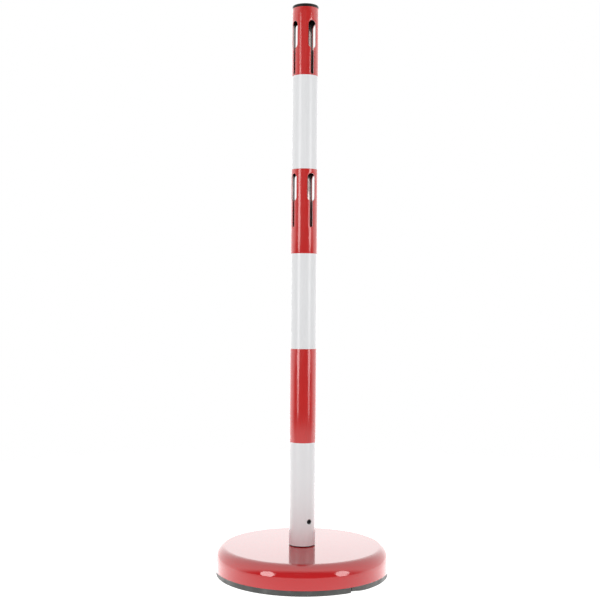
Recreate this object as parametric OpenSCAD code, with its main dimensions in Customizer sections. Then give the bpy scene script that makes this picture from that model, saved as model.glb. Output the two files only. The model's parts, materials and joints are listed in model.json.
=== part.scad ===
// Chain stanchion: a slotted round post on a weighted disc base.
// Millimetres, +Z up, origin on the floor under the middle of the base.
// The keyhole slots and the foot screw face along +X, -X, +Y and -Y.

/* [Overall] */
// Height from the floor to the top of the cap
total_h = 980; // [820:5:1200]
// Diameter of the base cover
base_d = 299; // [240:1:380]
// Height from the floor to the flat top of the base cover
base_h = 49; // [40:1:70]

/* [Post tube] */
// Outside diameter of the tube
tube_d = 45; // [37:0.5:60]
// Wall of the tube
tube_wall = 1.5; // [1:0.1:2.5]

/* [Keyhole slots] */
// Number of slots around the tube at each level
slots_round = 4; // [2:1:4]
// Length of one keyhole slot from end to end
slot_l = 92.5; // [80:0.5:110]
// Length of its wide upper opening
slot_wide_l = 48; // [35:0.5:60]
// Width of its wide upper opening
slot_wide_w = 15; // [12:0.5:18]
// Width of its narrow lower leg
slot_narrow_w = 6; // [5:0.5:9]
// Drop from the tube's top end to the upper slots
slot_drop_upper = 22.5; // [20:0.5:40]
// Drop from the tube's top end to the lower slots
slot_drop_lower = 285; // [260:1:320]

/* [Red bands] */
// Thickness of the adhesive film
film_t = 0.25; // [0.1:0.05:0.4]
// Length of the top red band
band_top_l = 116.5; // [110:0.5:140]
// Length of the first white stretch
white_upper_l = 161; // [140:1:180]
// Length of the middle red band
band_middle_l = 145; // [120:1:180]
// Length of the second white stretch
white_middle_l = 164; // [140:1:190]
// Length of the lower red band
band_lower_l = 161; // [140:1:190]

/* [Top cap] */
// Height of the cap's rim above the tube
cap_rim_h = 5.5; // [4:0.5:10]
// Fillet around the cap's top edge
cap_fillet = 2; // [1:0.25:3.5]
// Depth of the plug inside the tube
cap_plug_l = 15; // [10:0.5:18]
// Wall of the hollow plug
cap_plug_wall = 2; // [1.5:0.25:3]
// Number of grip rings on the plug
cap_rings = 4; // [2:1:5]

/* [Foot joint] */
// Diameter of the spigot that the post stands on
spigot_d = 27; // [22:0.5:32]
// Height of the spigot above the base cover
spigot_h = 80; // [60:1:100]
// Thickness of the spigot's foot flange, which the tube's end rests on
flange_t = 1.5; // [1:0.25:3]
// Height of the step that centres the tube's end
locating_step_h = 6; // [4:0.5:10]
// Length of the threaded bush inside the tube
bush_l = 40; // [25:1:50]
// Height of the clamping screw above the base cover
screw_z = 43; // [35:1:55]
// Thread diameter of the clamping screw
screw_d = 8; // [6:1:10]
// Across flats of its hexagon socket
screw_socket_af = 4; // [3:0.5:5]

/* [Base] */
// Sheet thickness of the base cover
cover_t = 1.5; // [1:0.1:3]
// Outside radius of the rounded rim
cover_fillet = 16.5; // [10:0.5:22]
// Height of the rubber ring that shows under the cover
ring_h = 9.7; // [8:0.1:14]
// Radial width of the rubber ring's foot
ring_foot_w = 20; // [14:0.5:30]
// Thickness of the rubber ring's foot, which the ballast stands on
ring_foot_t = 6; // [4:0.5:8]
// Thickness of the rubber ring's wall
ring_wall_t = 3; // [2:0.25:4]
// Height that the wall reaches up inside the cover
ring_tuck_h = 8; // [4:0.5:12]
// Rounding of the ring's bottom edge
ring_edge_r = 1.5; // [0.5:0.25:2]
// Width of the butt joint where the ring's ends meet
ring_joint_w = 1.2; // [0.6:0.1:3]

/* [Centre bolt] */
// Thread diameter of the centre bolt
bolt_d = 12; // [10:1:16]
// Length of the bolt's shank
bolt_l = 60; // [50:1:80]
// Diameter of the large washer
washer_d = 37; // [30:1:50]
// Thickness of the large washer
washer_t = 3; // [2:0.5:4]
// Diameter of the recess under the ballast
recess_d = 60; // [50:1:80]
// Depth of the recess under the ballast
recess_h = 16; // [14:0.5:20]

/* [Clearances] */
// Radial running clearance of the spigot, screw and plug
run_gap = 0.08; // [0.05:0.01:0.1]
// Radial clearance of parts that are bolted or bedded together
bed_gap = 0.3; // [0.2:0.05:0.5]

/* [Hidden] */

fine = 96; // segments on large round faces
small = 48; // segments on small round faces
eps = 0.5; // overshoot of a cutting tool past the face it cuts

// Post
tube_r = tube_d / 2;
bore_r = tube_r - tube_wall;
post_z0 = base_h + flange_t;
post_z1 = total_h - cap_rim_h;
slot_tops = [post_z1 - slot_drop_upper, post_z1 - slot_drop_lower];

// Bands, each from its lower edge to its upper edge
band_top_z = [post_z1 - band_top_l, post_z1];
band_middle_z = [band_top_z[0] - white_upper_l - band_middle_l, band_top_z[0] - white_upper_l];
band_lower_z = [band_middle_z[0] - white_middle_l - band_lower_l, band_middle_z[0] - white_middle_l];

// Cap
plug_r = bore_r - 0.5;
ring_proud = bore_r - run_gap;
cap_ring_h = 1.2;

// Foot joint
spigot_r = spigot_d / 2;
flange_r = tube_r - 0.6;
spigot_chamfer = 2;
bush_z = base_h + screw_z - bush_l / 2;
bush_r = bore_r;
screw_recess = 0.3;
screw_r = screw_d / 2;
screw_out = tube_r - screw_recess;
screw_tip = spigot_r + run_gap;
screw_hole_d = screw_d + 0.8;
socket_depth = 4;
screw_chamfer = 0.8;

// Base
cover_r = base_d / 2;
cover_in_r = cover_r - cover_t;
ring_r = cover_in_r - bed_gap;
ring_wall_in_r = ring_r - ring_wall_t;
ring_z1 = ring_h + ring_tuck_h;
ballast_r = cover_in_r - bed_gap;
ballast_low_r = ring_wall_in_r - bed_gap;
ballast_fillet = cover_fillet - cover_t;
ballast_z1 = base_h - cover_t;
bolt_hole_d = bolt_d + 1;
recess_z1 = ring_foot_t + recess_h;
washer_z = recess_z1 - washer_t;
lock_t = 2.5;
lock_d = bolt_d + 9;
head_af = 19;
head_h = 7.5;
bolt_z0 = washer_z - lock_t;
bolt_z1 = bolt_z0 + bolt_l;
blind_extra = 4; // depth of the spigot's thread past the bolt's end

module ring_at(r_out, r_in, z0, z1) {
    difference() {
        translate([0, 0, z0]) cylinder(r = r_out, h = z1 - z0, $fn = fine);
        translate([0, 0, z0 - eps]) cylinder(r = r_in, h = z1 - z0 + 2 * eps, $fn = fine);
    }
}

// Quarter of a disc, for the rounding of an upper right corner
module quarter_round(r) {
    intersection() {
        circle(r = r, $fn = fine);
        square(r);
    }
}

// One straight leg with round ends, cut along +X from the tube's middle
module leg_cutter(w, length, top) {
    reach = tube_r + film_t + 5;
    for (z = [top - w / 2, top - length + w / 2])
        translate([0, 0, z]) rotate([0, 90, 0]) cylinder(d = w, h = reach, $fn = small);
    translate([0, -w / 2, top - length + w / 2]) cube([reach, w, length - w]);
}

// A keyhole: the wide opening takes a chain link, the narrow leg holds it
module keyhole_cutter(top) {
    leg_cutter(slot_wide_w, slot_wide_l, top);
    leg_cutter(slot_narrow_w, slot_l - slot_wide_l / 2, top - slot_wide_l / 2);
}

module slot_cutters() {
    for (top = slot_tops, i = [0 : slots_round - 1])
        rotate([0, 0, 360 / slots_round * i]) keyhole_cutter(top);
}

// Points along -Y, which is where the clamping screw goes in
module screw_axis(from_r) {
    translate([0, -from_r, base_h + screw_z]) rotate([90, 0, 0]) children();
}

module screw_hole(d) {
    screw_axis(spigot_r / 2) cylinder(d = d, h = tube_r, $fn = small);
}

module post_tube() {
    color("white") difference() {
        ring_at(tube_r, bore_r, post_z0, post_z1);
        slot_cutters();
        screw_hole(screw_hole_d);
    }
}

// Film wrapped around the tube and cut out over every slot and hole
module red_band(z) {
    color("firebrick") difference() {
        ring_at(tube_r + film_t, tube_r, max(z[0], post_z0), z[1]);
        slot_cutters();
        screw_hole(screw_hole_d);
    }
}

module cap_profile() {
    square([tube_r - cap_fillet, cap_rim_h]);
    square([tube_r, cap_rim_h - cap_fillet]);
    translate([tube_r - cap_fillet, cap_rim_h - cap_fillet]) quarter_round(cap_fillet);
    // Hollow plug with its grip rings
    translate([plug_r - cap_plug_wall, -cap_plug_l]) square([cap_plug_wall, cap_plug_l + eps]);
    pitch = (cap_plug_l - cap_ring_h) / cap_rings;
    for (i = [0 : cap_rings - 1])
        translate([plug_r - eps, -cap_plug_l + 1 + i * pitch])
            square([ring_proud - plug_r + eps, cap_ring_h]);
}

module top_cap() {
    color([0.06, 0.06, 0.06])
        translate([0, 0, post_z1]) rotate_extrude($fn = fine) cap_profile();
}

module foot_bush() {
    color("silver") difference() {
        ring_at(bush_r, spigot_r + run_gap, bush_z, bush_z + bush_l);
        screw_hole(screw_d + 2 * run_gap);
    }
}

module foot_screw() {
    length = screw_out - screw_tip;
    color([0.1, 0.1, 0.1]) screw_axis(screw_tip) difference() {
        union() {
            cylinder(r1 = screw_r - screw_chamfer, r2 = screw_r, h = screw_chamfer, $fn = small);
            translate([0, 0, screw_chamfer]) cylinder(r = screw_r, h = length - screw_chamfer, $fn = small);
        }
        translate([0, 0, length - socket_depth])
            cylinder(d = screw_socket_af / cos(30), h = socket_depth + eps, $fn = 6);
    }
}

// Section of a disc whose upper rim is rounded
module rounded_disc_profile(r, fillet, z0, z1) {
    translate([0, z0]) square([r - fillet, z1 - z0]);
    translate([0, z0]) square([r, z1 - z0 - fillet]);
    translate([r - fillet, z1 - fillet]) quarter_round(fillet);
}

module base_cover() {
    color("red") rotate_extrude($fn = 2 * fine) difference() {
        rounded_disc_profile(cover_r, cover_fillet, ring_h, base_h);
        rounded_disc_profile(cover_in_r, cover_fillet - cover_t, ring_h - eps, base_h - cover_t);
        translate([0, base_h - cover_t - eps]) square([bolt_hole_d / 2, cover_t + 2 * eps]);
    }
}

module ballast() {
    color("gray") difference() {
        rotate_extrude($fn = 2 * fine) difference() {
            rounded_disc_profile(ballast_r, ballast_fillet, ring_foot_t, ballast_z1);
            // Rebate that the rubber ring's wall sits in
            translate([ballast_low_r, ring_foot_t - eps])
                square([ballast_r, ring_z1 + bed_gap - ring_foot_t + eps]);
        }
        translate([0, 0, -eps]) cylinder(d = bolt_hole_d + 1, h = base_h, $fn = small);
        translate([0, 0, -eps]) cylinder(d = recess_d, h = recess_z1 + eps, $fn = fine);
    }
}

module rubber_ring_profile() {
    foot_in_r = ring_r - ring_foot_w;
    translate([foot_in_r, 0]) square([ring_foot_w - ring_edge_r, ring_foot_t]);
    translate([foot_in_r, ring_edge_r]) square([ring_foot_w, ring_foot_t - ring_edge_r]);
    translate([ring_wall_in_r, ring_edge_r]) square([ring_wall_t, ring_z1 - ring_edge_r]);
    translate([ring_r - ring_edge_r, ring_edge_r]) mirror([0, 1]) quarter_round(ring_edge_r);
}

module rubber_ring() {
    color([0.15, 0.16, 0.15]) difference() {
        rotate_extrude($fn = 2 * fine) rubber_ring_profile();
        // The moulded strip's two ends meet at the front
        translate([-ring_joint_w / 2, -cover_r, -eps])
            cube([ring_joint_w, cover_r, ring_z1 + 2 * eps]);
    }
}

module spigot() {
    thread_depth = bolt_z1 + blind_extra - base_h;
    color("silver") translate([0, 0, base_h]) difference() {
        union() {
            cylinder(r = flange_r, h = flange_t, $fn = fine);
            cylinder(r = bore_r - run_gap, h = flange_t + locating_step_h, $fn = fine);
            cylinder(r = spigot_r, h = spigot_h - spigot_chamfer, $fn = fine);
            translate([0, 0, spigot_h - spigot_chamfer])
                cylinder(r1 = spigot_r, r2 = spigot_r - spigot_chamfer, h = spigot_chamfer, $fn = fine);
        }
        translate([0, 0, -eps]) cylinder(d = bolt_d + 2 * run_gap, h = thread_depth + eps, $fn = small);
    }
}

module centre_bolt() {
    color("silver") {
        translate([0, 0, bolt_z0 - head_h]) intersection() {
            cylinder(d = head_af / cos(30), h = head_h, $fn = 6);
            // Turned chamfer on the head's outer face
            cylinder(d1 = head_af * 0.92, d2 = head_af * 0.92 + 2 * head_h * 1.7, h = head_h, $fn = fine);
        }
        translate([0, 0, bolt_z0 - eps]) cylinder(d = bolt_d, h = bolt_l + eps, $fn = small);
    }
}

module centre_washer() {
    color("silver") ring_at(washer_d / 2, (bolt_d + 1) / 2, washer_z, washer_z + washer_t);
}

// Split spring washer
module lock_washer() {
    split_w = 1.5;
    color("silver") difference() {
        ring_at(lock_d / 2, (bolt_d + 0.4) / 2, bolt_z0, bolt_z0 + lock_t);
        translate([-split_w / 2, -lock_d, bolt_z0 - eps]) cube([split_w, lock_d, lock_t + 2 * eps]);
    }
}

post_tube();
red_band(band_top_z);  // red_band_top
red_band(band_middle_z);  // red_band_middle
red_band(band_lower_z);  // red_band_lower
top_cap();
foot_bush();
foot_screw();
base_cover();
ballast();
rubber_ring();
spigot();
centre_bolt();
centre_washer();
lock_washer();
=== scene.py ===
"""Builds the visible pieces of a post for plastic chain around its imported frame.

The post is a painted steel tube with keyhole slots, wrapped in three red films and closed by a
moulded cap. It stands on a turned spigot in a pressed cover over a cast ballast with a rubber edge.
"""

import json
import math

import bmesh
import bpy
import numpy as np
from bpy.props import FloatProperty, FloatVectorProperty, PointerProperty
from bpy.types import Operator, Panel, PropertyGroup
from mathutils import Matrix, Vector, noise


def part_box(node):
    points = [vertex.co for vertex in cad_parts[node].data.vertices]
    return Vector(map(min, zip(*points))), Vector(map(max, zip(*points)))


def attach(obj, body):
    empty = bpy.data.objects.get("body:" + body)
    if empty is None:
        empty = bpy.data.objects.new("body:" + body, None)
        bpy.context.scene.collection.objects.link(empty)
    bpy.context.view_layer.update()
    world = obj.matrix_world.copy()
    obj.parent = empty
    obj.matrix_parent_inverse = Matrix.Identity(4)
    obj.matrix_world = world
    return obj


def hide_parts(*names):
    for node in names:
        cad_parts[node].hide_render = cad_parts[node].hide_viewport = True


bl_info = {
    "name": "Chain Stanchion Maker",
    "version": (1, 0, 0),
    "blender": (4, 5, 0),
    "location": "3D View > Sidebar > Stanchion",
    "description": "Makes the visible pieces of a post for plastic chain around its packed frame",
    "category": "Object",
}

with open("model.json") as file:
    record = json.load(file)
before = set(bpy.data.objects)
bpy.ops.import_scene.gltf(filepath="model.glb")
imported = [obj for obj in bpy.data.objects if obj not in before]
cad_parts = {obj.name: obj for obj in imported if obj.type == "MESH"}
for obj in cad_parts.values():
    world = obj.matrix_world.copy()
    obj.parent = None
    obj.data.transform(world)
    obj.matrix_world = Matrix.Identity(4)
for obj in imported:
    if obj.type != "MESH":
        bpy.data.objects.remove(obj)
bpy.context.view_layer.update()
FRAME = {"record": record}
MM = 0.001

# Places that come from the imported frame.
TUBE_LOW, TUBE_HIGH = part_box("post_tube")
COVER_LOW, COVER_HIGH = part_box("base_cover")
BALLAST_LOW, BALLAST_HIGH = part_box("ballast")
RUBBER_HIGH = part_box("rubber_ring")[1]
CAP_LOW, CAP_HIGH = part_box("top_cap")
BUSH_LOW, BUSH_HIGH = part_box("foot_bush")
SPIGOT_LOW, SPIGOT_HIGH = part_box("spigot")
SCREW_LOW, SCREW_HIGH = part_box("foot_screw")
BOLT_LOW, BOLT_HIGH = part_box("centre_bolt")
WASHER_LOW, WASHER_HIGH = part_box("centre_washer")
LOCK_LOW, LOCK_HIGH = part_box("lock_washer")
MOUNTS = {mount["name"]: mount for mount in FRAME["record"]["mounts"]}
SLOT_CENTRES = (
    MOUNTS["chain_slot_upper_front"]["pos_m"][2],
    MOUNTS["chain_slot_lower_front"]["pos_m"][2],
)
SCREW_HEIGHT = (SCREW_LOW.z + SCREW_HIGH.z) / 2
FRONT = 3  # the quarter of a sleeve that faces -Y

# Fits that match the CAD, and the fine mesh round a slot.
SCREW_HOLE, TAPPED_HOLE, BUSH_BORE = 4.4 * MM, 4.08 * MM, 13.58 * MM  # radii
HALF_WINDOW = 12 * MM


# ---------------------------------------------------------------- settings


def length(name, description, default):
    """A size in metres, shown with its unit."""
    return FloatProperty(
        name=name,
        description=description,
        default=default,
        min=0.0,
        precision=5,
        unit="LENGTH",
    )


def colour(name, description, default):
    """A colour that a user can change."""
    return FloatVectorProperty(
        name=name,
        description=description,
        default=default,
        size=3,
        min=0.0,
        max=1.0,
        subtype="COLOR",
    )


def level(name, description, default):
    """A level of light."""
    return FloatProperty(name=name, description=description, default=default, min=0.0)


class StanchionPostSizes(PropertyGroup):
    """Sizes of the tube, its slots, the films and the cap."""

    radius: length("Tube radius", "Outside radius of the painted tube", TUBE_HIGH.x)
    wall: length("Tube wall", "Thickness of the tube", 1.5 * MM)
    slot_length: length("Slot length", "Whole length of a keyhole slot", 92.5 * MM)
    wide_length: length("Wide length", "Length of a slot's wide part", 48 * MM)
    wide_width: length("Wide width", "Width of a slot's wide part", 15 * MM)
    narrow_width: length("Narrow width", "Width of a slot's narrow leg", 6 * MM)
    shoulder: length(
        "Shoulder radius", "Rounding where the wide part meets the narrow leg", 1.5 * MM
    )
    punched_edge: length("Punched edge", "Rounding of the paint at a slot's edge", 0.35 * MM)
    roll_depth: length("Roll-in depth", "How far the punch drew a slot's edge inwards", 0.25 * MM)
    roll_width: length("Roll-in width", "How far from a slot's edge the metal is drawn in", 4 * MM)
    film_set_back: length("Film set-back", "Bare paint left between a slot and the film", 0.12 * MM)
    film_overlap: length("Film overlap", "Extra height where the film laps over itself", 0.12 * MM)
    cap_edge: length("Cap edge", "Rounding of the cap's top edge", 2 * MM)
    cap_wall: length("Plug wall", "Wall of the cap's hollow plug", 2 * MM)


class StanchionBaseSizes(PropertyGroup):
    """Sizes of the cover, the ballast and the rubber edge."""

    cover_sheet: length("Cover sheet", "Thickness of the pressed cover", 1.5 * MM)
    rim_across: length(
        "Rim width", "How far in from the side the cover's rounded rim starts", 16.5 * MM
    )
    rim_down: length(
        "Rim height", "How far down from the top the cover's rounded rim ends", 22.5 * MM
    )
    rubber_foot: length("Rubber foot", "Width of the rubber under the ballast", 20 * MM)
    rubber_foot_height: length("Rubber foot height", "Thickness of the rubber underfoot", 6 * MM)
    rubber_wall: length("Rubber wall", "Thickness of the rubber inside the cover", 3 * MM)
    rubber_round: length("Rubber rounding", "Rounding of the rubber's lower outside edge", 1.5 * MM)
    joint_gap: length("Joint gap", "Gap between the rubber's two ends", 1.2 * MM)
    joint_lift: length("Joint lift", "How far one end of the rubber has risen", 2.4 * MM)
    recess_radius: length("Recess radius", "Radius of the recess under the ballast", 30 * MM)
    recess_depth: length("Recess depth", "Depth of the recess under the ballast", 16 * MM)


class StanchionFinishes(PropertyGroup):
    """Colours of the pieces."""

    white_paint: colour("White paint", "Powder coat of the tube", (0.74, 0.745, 0.755))
    red_film: colour("Red film", "Film wrapped round the tube", (0.53, 0.018, 0.016))
    red_enamel: colour("Red enamel", "Paint of the cover", (0.53, 0.014, 0.017))
    bare_steel: colour("Bare steel", "Inside of the tube and the cover", (0.155, 0.125, 0.12))
    black_plastic: colour("Black plastic", "Cap", (0.008, 0.007, 0.006))
    # This black also colours the spigot's flange, where it is painted shade.
    black_oxide: colour("Black oxide", "Clamping screw", (0.006, 0.006, 0.007))
    rubber: colour("Rubber", "Rubber edge", (0.045, 0.048, 0.045))
    zinc: colour("Zinc plate", "Spigot, bush, bolt and washers", (0.62, 0.63, 0.64))
    concrete: colour("Concrete", "Ballast", (0.36, 0.35, 0.33))


class StanchionStudioLevels(PropertyGroup):
    """Levels of the lamps, the surroundings and the floor."""

    left_strip: level("Left strip", "Power of the left strip lamp, seen in gloss", 86.0)
    right_strip: level("Right strip", "Power of the right strip lamp, seen in gloss", 76.0)
    front_lamp: level("Front lamp", "Power of the soft lamp that gloss does not show", 15.0)
    low_light: level("Low light", "Level of the plain light near the horizon", 0.87)
    high_light: level("High light", "Level of the plain light overhead", 0.25)
    backdrop_gloss: level("Backdrop in gloss", "Level of the backdrop as gloss shows it", 2.6)
    dark_side: level("Dark side", "Level that gloss shows to the sides", 0.12)
    floor_light: level("Floor light", "Light that the white floor sends back", 0.75)
    floor_white: level("Floor white", "What lifts the floor to white for the camera", 0.22)
    near_gloss: level("Near floor in gloss", "What the floor in front adds in gloss", 0.55)
    far_gloss: level("Far floor in gloss", "What the floor behind adds in gloss", 2.3)


# ---------------------------------------------------------------- meshes


def hexagon_radius(across_flats, count):
    """Radius of a hexagon at each point of a ring, with its corners on points of the ring."""
    turn = np.arange(count) * 2 * math.pi / count
    from_flat = (turn + math.pi / 6) % (math.pi / 3) - math.pi / 6
    return across_flats / 2 / np.cos(from_flat)


def ring(radii, heights, count):
    """A closed ring of points. Its radius and height may differ at each point."""
    turn = np.arange(count) * 2 * math.pi / count
    flat = np.ones(count)
    return np.column_stack((radii * np.cos(turn), radii * np.sin(turn), heights * flat))


def thread_rings(crest, pitch, depth, low, high, count, rows_per_pitch):
    """Rings of a right-hand screw thread."""
    crest_flat, flank_width = 0.12, 0.63  # parts of half a pitch
    rows = max(2, round((high - low) / pitch * rows_per_pitch))
    turn = np.arange(count) / count
    rings = []
    for height in np.linspace(low, high, rows + 1):
        phase = (height / pitch - turn) % 1.0
        flank = np.clip((np.abs(2 * phase - 1) - crest_flat) / flank_width, 0.0, 1.0)
        run_out = min(1.0, (height - low) / pitch, (high - height) / pitch)
        rings.append(ring(crest - depth * np.maximum(flank, 1 - run_out), height, count))
    return rings


def loft(rings, round_section=True, closed=False):
    """Joins rings of equal length. Each ring is a closed loop unless round_section is false."""
    count = len(rings[0])
    points = np.concatenate(rings)
    faces = []
    spans = count if round_section else count - 1
    rows = len(rings) if closed else len(rings) - 1
    for row in range(rows):
        here, there = row * count, (row + 1) % len(rings) * count
        for k in range(spans):
            after = (k + 1) % count
            faces.append((here + k, here + after, there + after, there + k))
    return points, faces


def capped_loft(rings):
    """Joins closed rings, and puts a face over each end."""
    points, faces = loft(rings)
    count = len(rings[0])
    faces.append(tuple(range(count)))
    faces.append(tuple(range(len(points) - count, len(points))))
    return points, faces


def soften(corners, steps=5, closed=False, support=0.5 * MM):
    """Rounds the corners of a profile. Each corner is (radius from the axis, height, rounding)."""
    points = []
    count = len(corners)
    for i, (r, z, rounding) in enumerate(corners):
        here = np.array((r, z))
        at_end = not closed and i in (0, count - 1)
        if rounding <= 0 or at_end:
            points.append(here)
            continue
        before = np.array(corners[i - 1][:2]) - here
        after = np.array(corners[(i + 1) % count][:2]) - here
        room_before, room_after = np.linalg.norm(before), np.linalg.norm(after)
        before, after = before / room_before, after / room_after
        half = math.acos(max(-1.0, min(1.0, float(before @ after)))) / 2
        reach = rounding / math.tan(half)
        middle = before + after
        centre = here + middle / np.linalg.norm(middle) * rounding / math.sin(half)
        start, end = here + before * reach, here + after * reach
        if room_before > reach + 3 * support:
            points.append(start + before * support)
        first, last = start - centre, end - centre
        sweep = math.acos(max(-1.0, min(1.0, float(first @ last) / rounding**2)))
        for step in range(steps + 1):
            part = step / steps
            weights = math.sin((1 - part) * sweep), math.sin(part * sweep)
            points.append(centre + (first * weights[0] + last * weights[1]) / math.sin(sweep))
        if room_after > reach + 3 * support:
            points.append(end + after * support)
    return np.array(points)


def box_section(inner, outer, low, high, edge, steps):
    """The section of a washer, with rounded edges."""
    corners = [(inner, low, edge), (outer, low, edge), (outer, high, edge), (inner, high, edge)]
    return soften(corners, steps, closed=True, support=0.3 * MM)


def rim_curve(radius, height, across, down, steps):
    """A quarter of an oval that rounds an outside edge, from the level top to the side."""
    turn = np.linspace(0.0, math.pi / 2, steps + 1)
    radii = radius - across * (1 - np.sin(turn))
    return np.column_stack((radii, height - down * (1 - np.cos(turn))))


def at_turn(profile, turn):
    """A profile of (radius, height) in space, at a turn about the post's axis."""
    radii, heights = profile[:, 0], profile[:, 1]
    return np.column_stack((radii * np.cos(turn), radii * np.sin(turn), heights))


def revolve(profile, segments, closed=True):
    """Turns a profile about the post's axis."""
    rings = [at_turn(profile, k * 2 * math.pi / segments) for k in range(segments)]
    return loft(rings, round_section=closed, closed=True)


def add_piece(
    name, shape, body, node, materials, sharp=35, face_materials=None, shift=None
):
    """Makes a mesh piece that stands for one CAD node. Edges over sharp degrees stay sharp."""
    points, faces = shape
    mesh = bpy.data.meshes.new(name)
    mesh.from_pydata([tuple(p) for p in points], [], faces)
    if face_materials is not None:
        mesh.polygons.foreach_set("material_index", face_materials)
    for material in materials:
        mesh.materials.append(material)
    work = bmesh.new()
    work.from_mesh(mesh)
    bmesh.ops.remove_doubles(work, verts=work.verts, dist=2e-7)
    bmesh.ops.recalc_face_normals(work, faces=work.faces)
    work.to_mesh(mesh)
    work.free()
    if shift is not None:
        mesh.transform(shift)
    mesh.shade_smooth()
    mesh.set_sharp_from_angle(angle=math.radians(sharp))
    mesh.validate()
    piece = bpy.data.objects.new(name, mesh)
    bpy.context.scene.collection.objects.link(piece)
    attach(piece, body)
    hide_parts(node)
    return piece


# ---------------------------------------------------------------- punched sleeves


class Keyhole:
    """A wide obround above a narrow leg, with rounded shoulders. Its middle line is at y = 0."""

    wall_kind, rolled = 1, True

    def __init__(self, centre, sizes, grow=0.0):
        self.wide = sizes.wide_width / 2 + grow
        self.narrow = sizes.narrow_width / 2 + grow
        self.shoulder = sizes.shoulder - grow
        top = centre + sizes.slot_length / 2
        self.top, self.bottom = top + grow, top - sizes.slot_length - grow
        self.top_centre = top - sizes.wide_width / 2
        self.wide_low = top - sizes.wide_length + sizes.wide_width / 2
        self.bottom_centre = top - sizes.slot_length + sizes.narrow_width / 2
        self.quarters = (0, 1, 2, 3)
        self.shoulder_y = self.narrow + self.shoulder
        reach = self.wide + self.shoulder
        self.shoulder_z = self.wide_low - math.sqrt(reach**2 - self.shoulder_y**2)

    def rows(self, low, high):
        """Heights of the mesh rows in the window round the slot."""
        return np.concatenate(
            (
                np.linspace(low, self.bottom_centre, 7)[:-1],
                np.linspace(self.bottom_centre, self.shoulder_z, 7)[:-1],
                np.linspace(self.shoulder_z, self.wide_low, 17)[:-1],
                np.linspace(self.wide_low, self.top_centre, 7)[:-1],
                np.linspace(self.top_centre, high, 9),
            )
        )

    def half_width(self, height, grow):
        """Half the slot's width at a height between its two round ends."""
        wide, narrow, shoulder = self.wide + grow, self.narrow + grow, self.shoulder - grow
        drop = self.wide_low - height
        if drop <= 0:
            return wide
        tangent = (self.wide_low - self.shoulder_z) * wide / (self.wide + self.shoulder)
        if drop <= tangent:
            return math.sqrt(wide**2 - drop**2)
        if height >= self.shoulder_z:
            above = height - self.shoulder_z
            return self.shoulder_y - math.sqrt(max(0.0, shoulder**2 - above**2))
        return narrow

    def edge(self, y, z, grow):
        """The point of the slot's edge that belongs to a point of the window's border."""
        if self.bottom_centre < z < self.top_centre:
            return math.copysign(self.half_width(z, grow), y), z
        if z >= self.top_centre:
            middle, radius = self.top_centre, self.wide + grow
        else:
            middle, radius = self.bottom_centre, self.narrow + grow
        away = math.hypot(y, z - middle)
        return y / away * radius, middle + (z - middle) / away * radius

    def distance(self, y, z):
        """Distance of a point outside the slot from the slot's edge."""
        wide = math.hypot(y, z - min(max(z, self.wide_low), self.top_centre)) - self.wide
        narrow = math.hypot(y, z - min(max(z, self.bottom_centre), self.wide_low)) - self.narrow
        return min(wide, narrow)


class RoundHole:
    """A drilled hole in one quarter of a sleeve."""

    wall_kind, rolled = 2, False

    def __init__(self, centre, radius, quarter):
        self.centre, self.radius, self.quarters = centre, radius, (quarter,)
        self.top, self.bottom = centre + radius, centre - radius

    def rows(self, low, high):
        """Heights of the mesh rows in the window round the hole."""
        return np.linspace(low, high, 17)

    def edge(self, y, z, grow):
        """The point of the hole's edge that belongs to a point of the window's border."""
        away = math.hypot(y, z - self.centre)
        reach = (self.radius + grow) / away
        return y * reach, self.centre + (z - self.centre) * reach

    def distance(self, y, z):
        """Distance of a point outside the hole from the hole's edge."""
        return math.hypot(y, z - self.centre) - self.radius


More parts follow.
